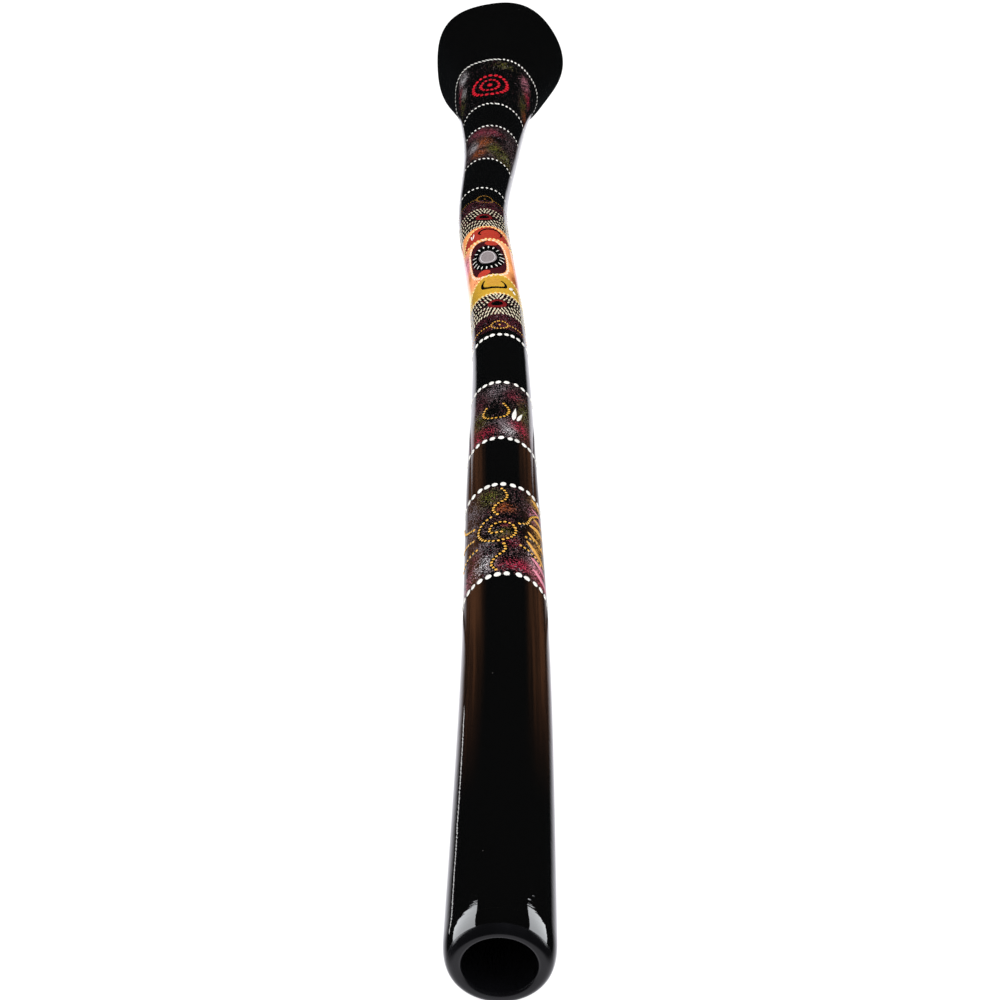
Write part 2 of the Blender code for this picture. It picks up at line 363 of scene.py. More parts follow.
SHIFT = frame_shift()


def tube_points(places, angles, depths):
    """Points of the tube's sections, a depth below the skin, in the shared frame."""
    places, angles, depths = np.broadcast_arrays(places, angles, depths)
    right, up, _ = axes_at(places)
    direction = right * np.cos(angles)[..., None] + up * np.sin(angles)[..., None]
    reach = outer_radius(places, angles) - depths
    return axis_points(places) + SHIFT + direction * reach[..., None]


def skin_points(places, offsets, heights):
    """Points over the skin, by their arc length from the top line."""
    angles = math.pi / 2 - np.asarray(offsets) / mean_radius(places)
    return tube_points(places, angles, -np.asarray(heights))


# Meshes.

def add_object(name, data):
    """An object of the scene."""
    item = bpy.data.objects.new(name, data)
    bpy.context.scene.collection.objects.link(item)
    return item


def add_mesh(name, points, faces, materials, kinds=None, attributes=None):
    """An object of these points and faces, smooth-shaded between its sharp edges."""
    mesh = bpy.data.meshes.new(name)
    mesh.from_pydata([tuple(p) for p in points], [], faces)
    for material in materials:
        mesh.materials.append(material)
    if kinds is not None:
        mesh.polygons.foreach_set("material_index", kinds)
    for label, values in (attributes or {}).items():
        values = np.asarray(values, np.float32)
        if values.ndim == 1:
            mesh.attributes.new(label, "FLOAT", "POINT").data.foreach_set("value", values)
        else:
            mesh.attributes.new(label, "FLOAT_COLOR", "POINT").data.foreach_set("color", values.ravel())
    solid = bmesh.new()
    solid.from_mesh(mesh)
    wide = [face for face in solid.faces if len(face.verts) > 4]
    bmesh.ops.triangulate(solid, faces=wide, ngon_method="EAR_CLIP")
    bmesh.ops.recalc_face_normals(solid, faces=solid.faces)
    solid.to_mesh(mesh)
    solid.free()
    mesh.shade_smooth()
    mesh.set_sharp_from_angle(angle=SMOOTH_ANGLE)
    return add_object(name, mesh)


def grid_faces(rows, columns, wrap_rows=False):
    """Quads between rows of points whose columns run round in a ring."""
    faces = []
    for i in range(rows if wrap_rows else rows - 1):
        k = (i + 1) % rows
        for j in range(columns):
            n = (j + 1) % columns
            faces.append((i * columns + j, i * columns + n, k * columns + n, k * columns + j))
    return faces


def end_faces(rows, columns):
    """The two faces that close the ends of a ring of columns."""
    last = (rows - 1) * columns
    return [tuple(range(columns)), tuple(range(last, last + columns))]


def add_piece(item, slot_name, *nodes):
    """Make an object part of the instrument and hide the CAD nodes it stands for; the slot name it is given
    is not used.
    """
    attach(item, "root")
    if nodes:
        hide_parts(*nodes)


def nose_radius(place):
    """The outer radius of the rounded mouth end, without the tube's wandering."""
    share = (1 - min(place / NOSE_LENGTH, 1.0)) ** NOSE_FULLNESS
    return MOUTH_RADIUS - LIP_ROUND + LIP_ROUND * math.sqrt(1 - share)


def shell_stations():
    """The shells' sections: distance from the mouth, and how far the outer and inner skins are cut back."""
    start = LIP_LENGTH + COLLAR_LINE
    nose = [start + (NOSE_LENGTH - start) * i / NOSE_STEPS for i in range(NOSE_STEPS)]
    rows = [(place, MOUTH_RADIUS - nose_radius(place), 0.0) for place in nose]
    last = LENGTH - EDGE_BREAK
    switches = [p + step for p in band_limits() for step in (-SWITCH_STEP, SWITCH_STEP)]
    places = list(switches)
    for i in range(1, STATION_COUNT):
        place = NOSE_LENGTH + (1 - (1 - i / STATION_COUNT) ** STATION_CROWDING) * (last - NOSE_LENGTH)
        if all(abs(place - other) > STATION_CLEARANCE for other in switches):
            places.append(place)
    rows += [(place, 0.0, 0.0) for place in sorted(places)]
    for i in range(EDGE_STEPS + 1):
        t = math.pi / 2 * i / EDGE_STEPS
        cut = EDGE_BREAK * (1 - math.cos(t))
        rows.append((last + EDGE_BREAK * math.sin(t), cut, cut))
    return rows


def band_limits():
    """Every place where the ground's colour changes at once."""
    return sorted({place for band, _, _ in GROUNDS for place in band})


def shell_outline(half, place, outer_cut, inner_cut):
    """A shell's section as angles and depths: outer arc, rebate, inner arc, rebate."""
    lap = LAP_LENGTH / 2 / outer_radius(place, 0.0)
    line = JOINT_LINE / outer_radius(place, 0.0)
    if half == "upper":
        outer = np.linspace(-lap, math.pi + lap, ARC_STEPS + 1)
        inner = np.linspace(math.pi - lap, lap, ARC_STEPS + 1)
        ledge = (SHELL_WALL - JOINT_LINE) / 2
    else:
        outer = np.linspace(math.pi + lap + line, math.tau - lap - line, ARC_STEPS + 1)
        inner = np.linspace(math.tau + lap - line, math.pi - lap + line, ARC_STEPS + 1)
        ledge = (SHELL_WALL + JOINT_LINE) / 2
    angles = np.concatenate([outer, [outer[-1], inner[0]], inner, [inner[-1], outer[0]]])
    skin = np.full(ARC_STEPS + 1, outer_cut)
    lining = np.full(ARC_STEPS + 1, SHELL_WALL - inner_cut)
    depths = np.concatenate([skin, [ledge, ledge], lining, [ledge, ledge]])
    return angles, depths


def within(places, band):
    """1 inside a band and 0 outside it."""
    return ((places > band[0]) & (places < band[1])).astype(float)


def ground_paint(places, offsets):
    """The sprayed ground at points of the skin: its colour, and how densely it covers the black."""
    colour = np.zeros(places.shape + (4,))
    colour[...] = COLOURS["dusk"]
    cover = np.zeros(places.shape)
    for band, density, shade in GROUNDS:
        inside = within(places, band)
        colour += inside[..., None] * (np.array(COLOURS[shade]) - colour)
        cover += density * inside
    painted = cover > 0
    for *spot, shade, density in PATCHES:
        place, offset, half_length, half_width = (value / 1000 for value in spot)
        band = next(band for band, _, _ in GROUNDS if band[0] < place < band[1])
        reach = ((places - place) / half_length) ** 2 + ((offsets - offset) / half_width) ** 2
        share = np.exp(-0.7 * reach ** 1.5) * within(places, band)
        colour += share[..., None] * (np.array(COLOURS[shade]) - colour)
        cover += share * (density - cover)
    return colour, np.where(painted, cover, 0.0), within(places, GROUND)


def make_shell(half, materials):
    """One moulded half shell with its rebated joint, lacquered outside and plain inside."""
    rows = shell_stations()
    angles, depths = zip(*[shell_outline(half, *row) for row in rows])
    angles, depths = np.array(angles), np.array(depths)
    places = np.repeat(np.array([row[0] for row in rows])[:, None], angles.shape[1], 1)
    points = tube_points(places, angles, depths).reshape(-1, 3)
    columns = angles.shape[1]
    faces = grid_faces(len(rows), columns)
    outer_face, inner_face, edge_face = 0, 1, 2
    kind_of_column = [outer_face] * ARC_STEPS + [edge_face] * 3
    kind_of_column += [inner_face] * ARC_STEPS + [edge_face] * 3
    kinds = kind_of_column * (len(rows) - 1)
    faces += end_faces(len(rows), columns)
    kinds += [edge_face, outer_face]
    offsets = (math.pi / 2 - angles) * mean_radius(places)
    colour, cover, solid = ground_paint(places, offsets)
    attributes = {
        "along": places.ravel(),
        "aside": np.cos(angles).ravel(),
        "cover": cover.ravel(),
        "solid": solid.ravel(),
        "tint": colour.reshape(-1, 4),
    }
    item = add_mesh(half + "_shell_skin", points, faces, materials, kinds, attributes)
    add_piece(item, half + "_lacquer", half + "_shell")


def make_seam_tape(side, seam_angle, material):
    """The laminated tape over a joint inside the bore, thinner towards its edges."""
    places = np.linspace(STRIP_START, STRIP_END, 260)
    shares = np.linspace(-1, 1, 25)
    half_angle = STRIP_WIDTH / 2 / (mean_radius(places) - SHELL_WALL)
    fall = STRIP_THICKNESS * (0.12 + 0.88 * (1 - np.abs(shares) ** 6))
    glued = np.full(len(shares), SHELL_WALL + 0.00005)
    section_shares = np.concatenate([shares, shares[::-1]])
    depths = np.concatenate([glued, (glued + fall)[::-1]])
    angles = seam_angle + section_shares[None, :] * half_angle[:, None]
    points = tube_points(places[:, None], angles, depths[None, :]).reshape(-1, 3)
    columns = len(section_shares)
    faces = grid_faces(len(places), columns) + end_faces(len(places), columns)
    item = add_mesh(side + "_seam_tape", points, faces, [material])
    add_piece(item, "seam_laminate", side + "_seam_strip")


def make_mouthpiece(materials):
    """The turned ring with a rounded lip and a spigot that plugs into the shells."""
    depths = sorted([LIP_LENGTH * (i / 40) ** 1.8 for i in range(41)] + [SATIN_LENGTH])
    profile = [(nose_radius(depth), -depth) for depth in depths]
    lacquered = [depth >= SATIN_LENGTH for depth in depths]
    profile += [(SPIGOT_RADIUS, -LIP_LENGTH), (SPIGOT_RADIUS, SPIGOT_CHAMFER - MOUTHPIECE_LENGTH)]
    profile += [(SPIGOT_RADIUS - SPIGOT_CHAMFER, -MOUTHPIECE_LENGTH), (BORE_RADIUS, -MOUTHPIECE_LENGTH)]
    for turn in np.radians(np.linspace(180, 90, 11)):
        profile.append((BORE_RADIUS + BORE_ROUND * (1 + math.cos(turn)), BORE_ROUND * (math.sin(turn) - 1)))
    right, up, forward = axes_at(0.0)
    centre = axis_points(0.0) + SHIFT
    turns = np.linspace(0, math.tau, LATHE_STEPS, endpoint=False)
    spokes = right * np.cos(turns)[:, None] + up * np.sin(turns)[:, None]
    points = [centre + radius * spokes - height * forward for radius, height in profile]
    faces = grid_faces(len(profile), LATHE_STEPS, wrap_rows=True)
    lacquered += [False] * (len(profile) - len(lacquered))
    kinds = [int(shiny) for shiny in lacquered for _ in range(LATHE_STEPS)]
    item = add_mesh("mouthpiece_ring", np.array(points).reshape(-1, 3), faces, materials, kinds)
    add_piece(item, "mouthpiece_gloss", "mouthpiece")


# Raised paint marks.

class Marks:
    """Raised paint marks that together make one piece."""

    def __init__(self, seed):
        self.points = []
        self.faces = []
        self.shades = []
        self.chance = random.Random(seed)

    def vary(self, value, share):
        """The value, a share more or less."""
        return value * (1 + share * self.chance.uniform(-1, 1))

    def add_rings(self, rings, middle):
        """Join rings of points, from the outline inwards, and close them with a middle point."""
        first = len(self.points)
        columns = len(rings[0])
        for ring in rings:
            self.points += list(ring)
        self.points.append(middle)
        top = first + len(rings) * columns
        self.faces += [tuple(first + i for i in face) for face in grid_faces(len(rings), columns)]
        edge = top - columns
        self.faces += [(edge + j, edge + (j + 1) % columns, top) for j in range(columns)]
        self.shades += [self.chance.random()] * (top + 1 - first)

    def film(self, outline, height, shares, power, base=0.0):
        """A mark over a star-shaped outline that rises towards its middle, on a layer of paint or none."""
        outline = np.asarray(outline, float)
        centre = outline.mean(0)
        rings = []
        for share in shares:
            flat = centre + (outline - centre) * share
            lift = base + height * max(1 - share ** power, 0.0) ** 0.7
            rings.append(skin_points(flat[:, 0], flat[:, 1], lift - (SINK if share == 1 else 0)))
        self.add_rings(rings, skin_points(centre[0], centre[1], base + height))

    def dot(self, place, offset, length, width, height, slant=0.0, steps=14, base=0.0):
        """A round or oval dot that stands up like a drop."""
        turns = np.linspace(0, math.tau, steps, endpoint=False)
        along = length / 2 * np.cos(turns)
        across = width / 2 * np.sin(turns)
        places = place + along * math.cos(slant) - across * math.sin(slant)
        offsets = offset + along * math.sin(slant) + across * math.cos(slant)
        self.film(np.stack([places, offsets], 1), height, (1, 0.9, 0.7, 0.4), 2, base)

    def panel(self, outline, height, base=0.0):
        """A flat area of paint with a soft edge."""
        shares = (1, 0.985, 0.95, 0.9, 0.82, 0.74, 0.66, 0.58, 0.5, 0.42, 0.34, 0.26, 0.18, 0.1)
        self.film(outline, height, shares, 40, base)

    def stroke(self, path, width, height, taper=0.0, base=0.0):
        """A brush stroke along a path, round at its ends and thinner there by the taper."""
        path = walk(path, STROKE_STEP)
        gone = np.arange(len(path)) * STROKE_STEP
        left = gone[-1] - gone
        end = np.minimum(gone, left)
        half = width / 2 * (1 - taper * (1 - np.minimum(end / (gone[-1] / 2), 1)))
        half = half * np.sqrt(1 - (1 - np.clip(end / (width / 2), 0.02, 1)) ** 2)
        slope = unit(np.gradient(path, axis=0))
        normal = np.stack([-slope[:, 1], slope[:, 0]], 1)
        levels = (-1, -0.9, -0.6, -0.2, 0.2, 0.6, 0.9, 1)
        first = len(self.points)
        for level in levels:
            flat = path + normal * (half * level)[:, None]
            lift = base + height * (1 - level ** 2) ** 0.6 * half / (width / 2)
            sunk = SINK if abs(level) == 1 else 0
            self.points += list(skin_points(flat[:, 0], flat[:, 1], lift - sunk))
        count = len(path)
        for i in range(len(levels) - 1):
            for j in range(count - 1):
                near = first + i * count + j
                self.faces.append((near, near + 1, near + count + 1, near + count))
        self.shades += [self.chance.random()] * (len(levels) * count)

    def finish(self, name, colour):
        """Turn the marks into one piece of enamel in this colour."""
        item = add_mesh(name, self.points, self.faces, [enamel(colour)], attributes={"shade": self.shades})
        add_piece(item, "upper_lacquer")


def in_metres(*points):
    """Points given in millimetres: their place and their offset from the top line."""
    return np.array(points) / 1000


def make_patch(name, colour, seed, outline, height, base=0.0):
    """One flat area of paint as a piece of its own."""
    marks = Marks(seed)
    marks.panel(outline, height, base)
    marks.finish(name, colour)


def curve_through(*points):
    """A fine smooth path through a few points, given in millimetres."""
    points = in_metres(*points)
    reach = path_reach(points)
    at = np.linspace(0.0, reach[-1], CURVE_STEPS)
    return np.stack([smooth_line(reach, points[:, i])(at) for i in (0, 1)], 1)


def path_reach(path):
    """How far along a path each of its points is."""
    return np.concatenate([[0], np.cumsum(np.linalg.norm(np.diff(path, axis=0), axis=1))])


def walk(path, spacing):
    """Points at an even spacing along a path."""
    reach = path_reach(path)
    count = max(int(round(reach[-1] / spacing)), 1)
    at = np.linspace(0, reach[-1], count + 1)
    return np.stack([np.interp(at, reach, path[:, i]) for i in (0, 1)], 1)


def oval(place, offset, half_length, half_width, steps=64, squareness=2.0):
    """The outline of an oval, nearer to a rectangle where the squareness is above 2."""
    turns = np.linspace(0, math.tau, steps, endpoint=False)
    along = np.sign(np.cos(turns)) * np.abs(np.cos(turns)) ** (2 / squareness)
    across = np.sign(np.sin(turns)) * np.abs(np.sin(turns)) ** (2 / squareness)
    return np.stack([place + half_length * along, offset + half_width * across], 1)


def make_white_ring(number, place):
    """One ring of white enamel dots round the tube, smaller and closer towards the bell."""
    marks = Marks(100 + number)
    radius = float(mean_radius(place))
    girth = math.tau * radius
    length, width, pitch, height, spread = NEAR_RING if place < GROUND[0] else FAR_RING
    count = round(girth / pitch)
    offset = marks.chance.uniform(0, 0.005)
    for _ in range(count):
        offset += marks.vary(girth / count, spread)
        wave = 0.0006 * math.sin(2 * offset / radius + number)
        where = place + wave + marks.chance.uniform(-RING_DOT_SHIFT, RING_DOT_SHIFT)
        marks.dot(where, offset, marks.vary(length, 0.09), marks.vary(width, 0.10), height)
    marks.finish(f"white_dot_ring_{number}", "white")


def dotted(marks, path, spacing, length, width, height, base=0.0):
    """Dots at an even spacing along a path, each a little different."""
    for place, offset in walk(path, spacing):
        where = place + marks.chance.uniform(-LINE_DOT_SHIFT, LINE_DOT_SHIFT)
        beside = offset + marks.chance.uniform(-LINE_DOT_SHIFT, LINE_DOT_SHIFT)
        size = marks.vary(length, 0.12), marks.vary(width, 0.12)
        marks.dot(where, beside, *size, height, steps=10, base=base)


def make_dotted_lines(name, paths):
    """Yellow dotted lines on dark brush strokes, as two pieces."""
    shadow = Marks(len(name))
    dots = Marks(len(name) + 50)
    for path in paths:
        shadow.stroke(path, UNDER_STROKE_WIDTH, UNDER_STROKE_HEIGHT)
        dotted(dots, path, LINE_DOT_SPACING, *LINE_DOT)
    shadow.finish(name + "_under_stroke", "black")
    dots.finish(name + "_dots", "yellow")


def first_band_lines():
    """The spiral, the waves and the side lines of the first band."""
    spiral = curve_through(
        (317.5, -1.7), (318, -8), (324, -8.5), (329, -2.5),
        (326.5, 5), (318, 6.8), (310.5, 3), (307.5, -4.5),
        (311, -11.5), (319, -16), (329, -15.5), (334.5, -11),
        (336.5, -8),
    )
    upper_wave = curve_through(
        (370.5, -0.8), (365, 2), (357.5, 1.6), (350, -5),
        (344, -6.4), (339, -4),
    )
    lower_wave = curve_through(
        (303.5, -0.4), (296.5, 0.2), (290.5, -4.2), (285, -7.6),
        (280, -7.6), (275.5, -5.3),
    )
    left_fork = curve_through((356, -36), (338.5, -27.6), (333, -20.5))
    right_wave = curve_through((330, 9.8), (333, 14), (342, 17.5), (357, 27))
    left_lines = [in_metres((320, -21), (328, -36)), in_metres((306, -18), (307, -36))]
    right_lines = [in_metres((304.5, 9.7), (298, 25)), in_metres((317, 13.8), (321, 28))]
    return [spiral, upper_wave, lower_wave, left_fork, right_wave] + left_lines + right_lines


def make_first_band():
    """The marks of the first painted band."""
    amber = (
        (6, (370, 20), (369.5, 26), (369, 34)),
        (4.2, (346.5, 19), (347.5, 26), (349, 35)),
        (5.8, (334, 16.5), (336, 24), (338, 36)),
        (5.2, (325, 15.2), (320.5, 21.8), (320.5, 34)),
        (5, (313.5, 14), (308, 19.3), (301, 31)),
    )
    pink = (
        (3.6, (357.5, 20), (358, 26), (359, 34)),
        (5.6, (296.5, 16.5), (294.5, 23), (290, 34)),
        (6, (285, 17.5), (282, 24), (279, 35)),
    )
    for name, rows in (("amber", amber), ("pink", pink)):
        stripes = Marks(11)
        for width, *points in rows:
            stripes.stroke(curve_through(*points), width / 1000, STRIPE_HEIGHT, taper=0.6)
        stripes.finish(f"first_band_{name}_stripes", name)
    make_dotted_lines("first_band", first_band_lines())


def make_second_band():
    """The dotted bow and the two white leaves of the second painted band."""
    bow = curve_through(
        (489.5, -11.2), (484, -13.4), (475.5, -11.8), (471.5, -5.5),
        (472.5, 0.8), (478, 4.4), (485, 4.6), (492.5, 1.2),
    )
    make_dotted_lines("second_band", [bow])
    leaves = Marks(12)
    shares = np.linspace(0, 1, 24)
    swell = 0.080 * np.sin(math.pi * shares ** 0.7)
    for root, tip in (in_metres((469.5, 7.8), (490.0, 10.0)), in_metres((470.5, 10.8), (486.2, 15.4))):
        reach = tip - root
        beside = np.array([-reach[1], reach[0]])
        right = root + np.outer(shares, reach) + np.outer(swell, beside)
        left = root + np.outer(shares, reach) - np.outer(swell, beside)
        leaves.film(np.concatenate([right, left[-2:0:-1]]), 0.00028, (1, 0.92, 0.75, 0.5, 0.25), 3)
    leaves.finish("second_band_white_leaves", "white")


def make_eye_line(name, place, offset, half_length, half_width, colour):
    """A dotted line round the tube with a dotted oval and its centre dot on the top line."""
    girth = math.tau * float(mean_radius(place))
    marks = Marks(len(name) + 7)
    ring = oval(place, offset, half_length, half_width, 200)
    dotted(marks, ring[:-5], 0.0024, 0.0019, 0.0014, 0.00030)
    marks.dot(place, offset, 0.0024, 0.0018, 0.00035)
    reach = np.array([half_width + 0.0015, girth / 2])
    for side in (-1, 1):
        line = np.stack([np.full(2, place), offset + side * reach], 1)
        dotted(marks, line, 0.0024, 0.0017, 0.0014, 0.00028)
    marks.finish(name + "_dots", colour)


def make_dash_rows(name, band):
    """Rows of cream dashes that open round a dark red oval, with dark red specks between them."""
    middle = sum(band) / 2
    half = (band[1] - band[0]) / 2
    half_girth = math.pi * float(mean_radius(middle))
    count = round(2 * half_girth / DASH_PITCH)
    dashes = Marks(len(name) + 21)
    specks = Marks(len(name) + 22)
    for side in (-1, 1):
        for rest, opening, length in ((0.17, 0.38, 0.0044), (0.52, 0.20, 0.0050), (0.88, 0.03, 0.0050)):
            for i in range(count):
                offset = (i + 0.5 * (0.3 < rest < 0.7)) * 2 * half_girth / count - half_girth
                offset += dashes.chance.uniform(-0.0003, 0.0003)
                swell = sum(math.exp(-(gap / 0.0085) ** 2) for gap in (offset, abs(offset) - half_girth))
                place = middle + side * half * (rest + opening * min(swell, 1.0))
                slant = side * 0.55 * math.exp(-(abs(offset) / 0.02) ** 2) * math.tanh(offset / 0.006)
                size = dashes.vary(length, 0.10), dashes.vary(0.0015, 0.15)
                dashes.dot(place, offset, *size, 0.00032, slant, 8)
                if specks.chance.random() < 0.18:
                    beside = offset + half_girth / count
                    specks.dot(place, beside, 0.0012, 0.0010, 0.00024, steps=8)
    dashes.finish(name + "_cream_dashes", "cream")
    specks.finish(name + "_red_specks", "deep_red")
    centre = Marks(len(name) + 23)
    core = Marks(len(name) + 24)
    for offset in (-0.0006, half_girth - 0.0006):
        centre.panel(oval(middle, offset, 0.0075, 0.0078), 0.00016)
        core.panel(oval(middle, offset, 0.0042, 0.0048, 32), 0.00024)
    centre.finish(name + "_red_oval", "deep_red")
    core.finish(name + "_dark_core", "black")


def arched_outline(base, top, half_width, offset, flat_side):
    """The outline of a panel with one edge along a ring and the other arched, as points."""
    shares = np.linspace(-1, 1, 41)
    arch = base + (top - base) * np.clip(1 - np.abs(shares) ** 2.2, 0, 1) ** 0.75
    upper = np.stack([arch, offset + half_width * shares], 1)
    lower = np.stack([np.full(41, base) + flat_side * (1 - shares ** 2), offset + half_width * shares], 1)
    return upper, lower


def make_panel(name, colour, base, top, half_width, sag, offset):
    """A painted panel with one arched edge and a border of pale dots."""
    upper, lower = arched_outline(base, top, half_width, offset, sag)
    make_patch(name, colour, 31, np.concatenate([upper, lower[-2:0:-1]]), PANEL_HEIGHT)
    edge = Marks(32)
    for path in (upper, lower):
        dotted(edge, path, 0.0036, 0.0030, 0.0023, 0.00040)
    edge.finish(name + "_edge_dots", "pale_yellow")


def make_panel_pair():
    """The yellow panel and the red panel on either side of the rosette, with their brush marks."""
    make_panel("yellow_panel", "panel_yellow", 0.6840, 0.7205, 0.0310, 0.0, 0.0005)
    make_panel("red_panel", "panel_red", 0.7985, 0.8300, 0.0275, 0.0015, -0.0005)
    patch = oval(0.7065, -0.0015, 0.0080, 0.0060, 40, 3.0)
    make_patch("yellow_panel_patch", "khaki", 33, patch, 0.00005, PANEL_HEIGHT)
    bows = Marks(34)
    yellow_bow = curve_through(
        (711.5, -8.6), (705, -11.2), (697.5, -10), (695, -4),
        (694.5, 2.5), (696.5, 7.4), (702, 8), (708, 4.6),
    )
    red_bow = curve_through(
        (811, -6), (817.5, -7.4), (822.5, -3), (824, 3.5),
        (822.5, 9.5), (816.5, 13), (808.5, 10.7),
    )
    for bow, width in ((yellow_bow, 0.0040), (red_bow, 0.0036)):
        bows.stroke(bow, width, 0.00022, taper=0.6, base=PANEL_HEIGHT)
    bows.finish("panel_black_bows", "black")
    flecks = Marks(35)
    for place, offset, length, width, slant in (
        (0.6985, 0.0132, 0.0072, 0.0036, 0.5),
        (0.6945, 0.0160, 0.0054, 0.0028, -0.3),
        (0.8150, -0.0130, 0.0100, 0.0016, 0.16),
        (0.8140, -0.0152, 0.0110, 0.0013, -0.05),
    ):
        flecks.dot(place, offset, length, width, 0.0003, slant, base=PANEL_HEIGHT)
    flecks.finish("panel_white_flecks", "white")
    spots = Marks(36)
    spots.dot(0.6975, 0.0152, 0.0024, 0.0016, 0.0003, base=PANEL_HEIGHT + 0.0001)
    spots.finish("panel_black_spots", "black")


def make_rosette():
    """The long oval rosette between the two panels: plain rings of colour with ticks and dots."""
    place, offset = 0.7580, -0.0036
    layers = (
        ("field", 0.0375, 0.0162, 3.0, 0.00014, "dark_maroon"),
        ("ring", 0.0262, 0.0142, 2.3, 0.00022, "black"),
        ("centre", 0.0140, 0.0080, 2.0, 0.00032, "stone_grey"),
    )
    for part, half_length, half_width, squareness, height, colour in layers:
        outline = oval(place, offset, half_length, half_width, 96, squareness)
        make_patch("rosette_" + part, colour, 41, outline, height)
    corners = Marks(42)
    for step in (-1, 1):
        corners.panel(oval(place + step * 0.0310, offset + step * 0.0052, 0.0055, 0.0058, 40), 0.00022)
    corners.finish("rosette_red_spots", "panel_red")
    ticks = Marks(43)
    for i in range(18):
        turn = math.tau * (i + 0.5) / 18
        along, across = math.cos(turn), math.sin(turn)
        slant = math.atan2(across * 0.0110, along * 0.0205)
        ticks.dot(place + 0.0220 * along, offset + 0.0123 * across, 0.0070, 0.0016, 0.00040, slant, 8)
    ticks.finish("rosette_white_ticks", "white")
    loops = Marks(44)
    loops.stroke(np.concatenate([oval(place, offset, 0.0118, 0.0062, 96)] * 2)[:100], 0.0010, 0.00042)
    loops.finish("rosette_inner_loop", "pale_grey")
    border = Marks(45)
    outline = oval(place, offset, 0.0392, 0.0176, 300, 3.0)
    wave = 1 + 0.018 * np.cos(np.linspace(0, math.tau * 16, 300))
    centre = np.array([place, offset])
    outline = centre + (outline - centre) * wave[:, None]
    dotted(border, outline, 0.0040, 0.0034, 0.0026, 0.0005)
    border.finish("rosette_cream_dots", "shell_pink")


def make_red_target():
    """Two plain rings of red dots round a red spot on the last band."""
    place, offset = 1.2480, -0.0050
    marks = Marks(51)
    for half_length, half_width, spacing, size in (
        (0.0260, 0.0200, 0.0062, 0.0048),
        (0.0140, 0.0105, 0.0052, 0.0038),
    ):
        dotted(marks, oval(place, offset, half_length, half_width, 300), spacing, size * 1.2, size, 0.0005)
    marks.dot(place, offset, 0.0080, 0.0062, 0.0006, steps=24)
    marks.finish("last_band_red_rings", "signal_red")


# Materials.

class Nodes:
    """A material under construction."""

    def __init__(self, name, glows=False):
        self.material = bpy.data.materials.new(name)
        self.material.use_nodes = True
        self.tree = self.material.node_tree
        self.shader = self.tree.nodes["Principled BSDF"]
        if glows:
            self.tree.nodes.remove(self.shader)
            self.shader = self.add("ShaderNodeEmission")
            surface = self.tree.nodes["Material Output"].inputs["Surface"]
            self.tree.links.new(self.shader.outputs[0], surface)
        self.place = self.add("ShaderNodeTexCoord").outputs["Object"]

    def add(self, kind, **settings):
        """A new node with these settings."""
        node = self.tree.nodes.new(kind)
        for key, value in settings.items():
            setattr(node, key, value)
        return node

    def feed(self, socket, value):
        """Connect a socket, or give it a plain value."""
        if isinstance(value, bpy.types.NodeSocket):
            self.tree.links.new(value, socket)
        else:
            socket.default_value = value

    def math(self, operation, *values):
        """The result of a calculation or comparison."""
        node = self.add("ShaderNodeMath", operation=operation)
        for i, value in enumerate(values):
            self.feed(node.inputs[i], value)
        return node.outputs[0]

    def times(self, product, *values):
        """The product of all the values."""
        for value in values:
            product = self.math("MULTIPLY", product, value)
        return product

    def ramp(self, value, low, high, bottom=0.0, top=1.0):
        """Carry a value from one range to another, smoothly."""
        node = self.add("ShaderNodeMapRange", interpolation_type="SMOOTHSTEP")
        for i, item in enumerate((value, low, high, bottom, top)):
            self.feed(node.inputs[i], item)
        return node.outputs[0]

    def mix(self, share, one, other, blend="MIX"):
        """Blend two colours."""
        node = self.add("ShaderNodeMix", data_type="RGBA", blend_type=blend)
        self.feed(node.inputs[0], share)
        self.feed(node.inputs[6], one)
        self.feed(node.inputs[7], other)
        return node.outputs[2]

    def attribute(self, name, output):
        """A value stored on the mesh."""
        return self.add("ShaderNodeAttribute", attribute_name=name).outputs[output]

    def stretched(self, x, y, z):
        """The place, scaled along each direction."""
        node = self.add("ShaderNodeMapping")
        self.feed(node.inputs["Vector"], self.place)
        node.inputs["Scale"].default_value = (x, y, z)
        return node.outputs[0]

    def noise(self, scale, detail=2.0, vector=None):
        """Soft noise at so many waves a metre."""
        node = self.add("ShaderNodeTexNoise")
        self.feed(node.inputs["Vector"], vector or self.place)
        node.inputs["Scale"].default_value = scale
        node.inputs["Detail"].default_value = detail
        return node.outputs[0]

    def clouds(self, scale, detail, *limits):
        """Soft noise carried from one range to another."""
        return self.ramp(self.noise(scale, detail), *limits)

    def cells(self, scale, vector=None):
        """The distance to the nearest of many scattered points, and a random value for each point."""
        node = self.add("ShaderNodeTexVoronoi")
        self.feed(node.inputs["Vector"], vector or self.place)
        node.inputs["Scale"].default_value = scale
        split = self.add("ShaderNodeSeparateColor")
        self.feed(split.inputs[0], node.outputs["Color"])
        return node.outputs["Distance"], split.outputs[0], split.outputs[1]

    def bump(self, height, distance, strength=1.0, normal=None):
        """A relief too fine to be modelled."""
        node = self.add("ShaderNodeBump")
        node.inputs["Strength"].default_value = strength
        node.inputs["Distance"].default_value = distance
        self.feed(node.inputs["Height"], height)
        if normal is not None:
            self.feed(node.inputs["Normal"], normal)
        return node.outputs[0]

    def set(self, **values):
        """Set or connect inputs of the shader, named with underscores for blanks."""
        for key, value in values.items():
            self.feed(self.shader.inputs[key.replace("_", " ")], value)


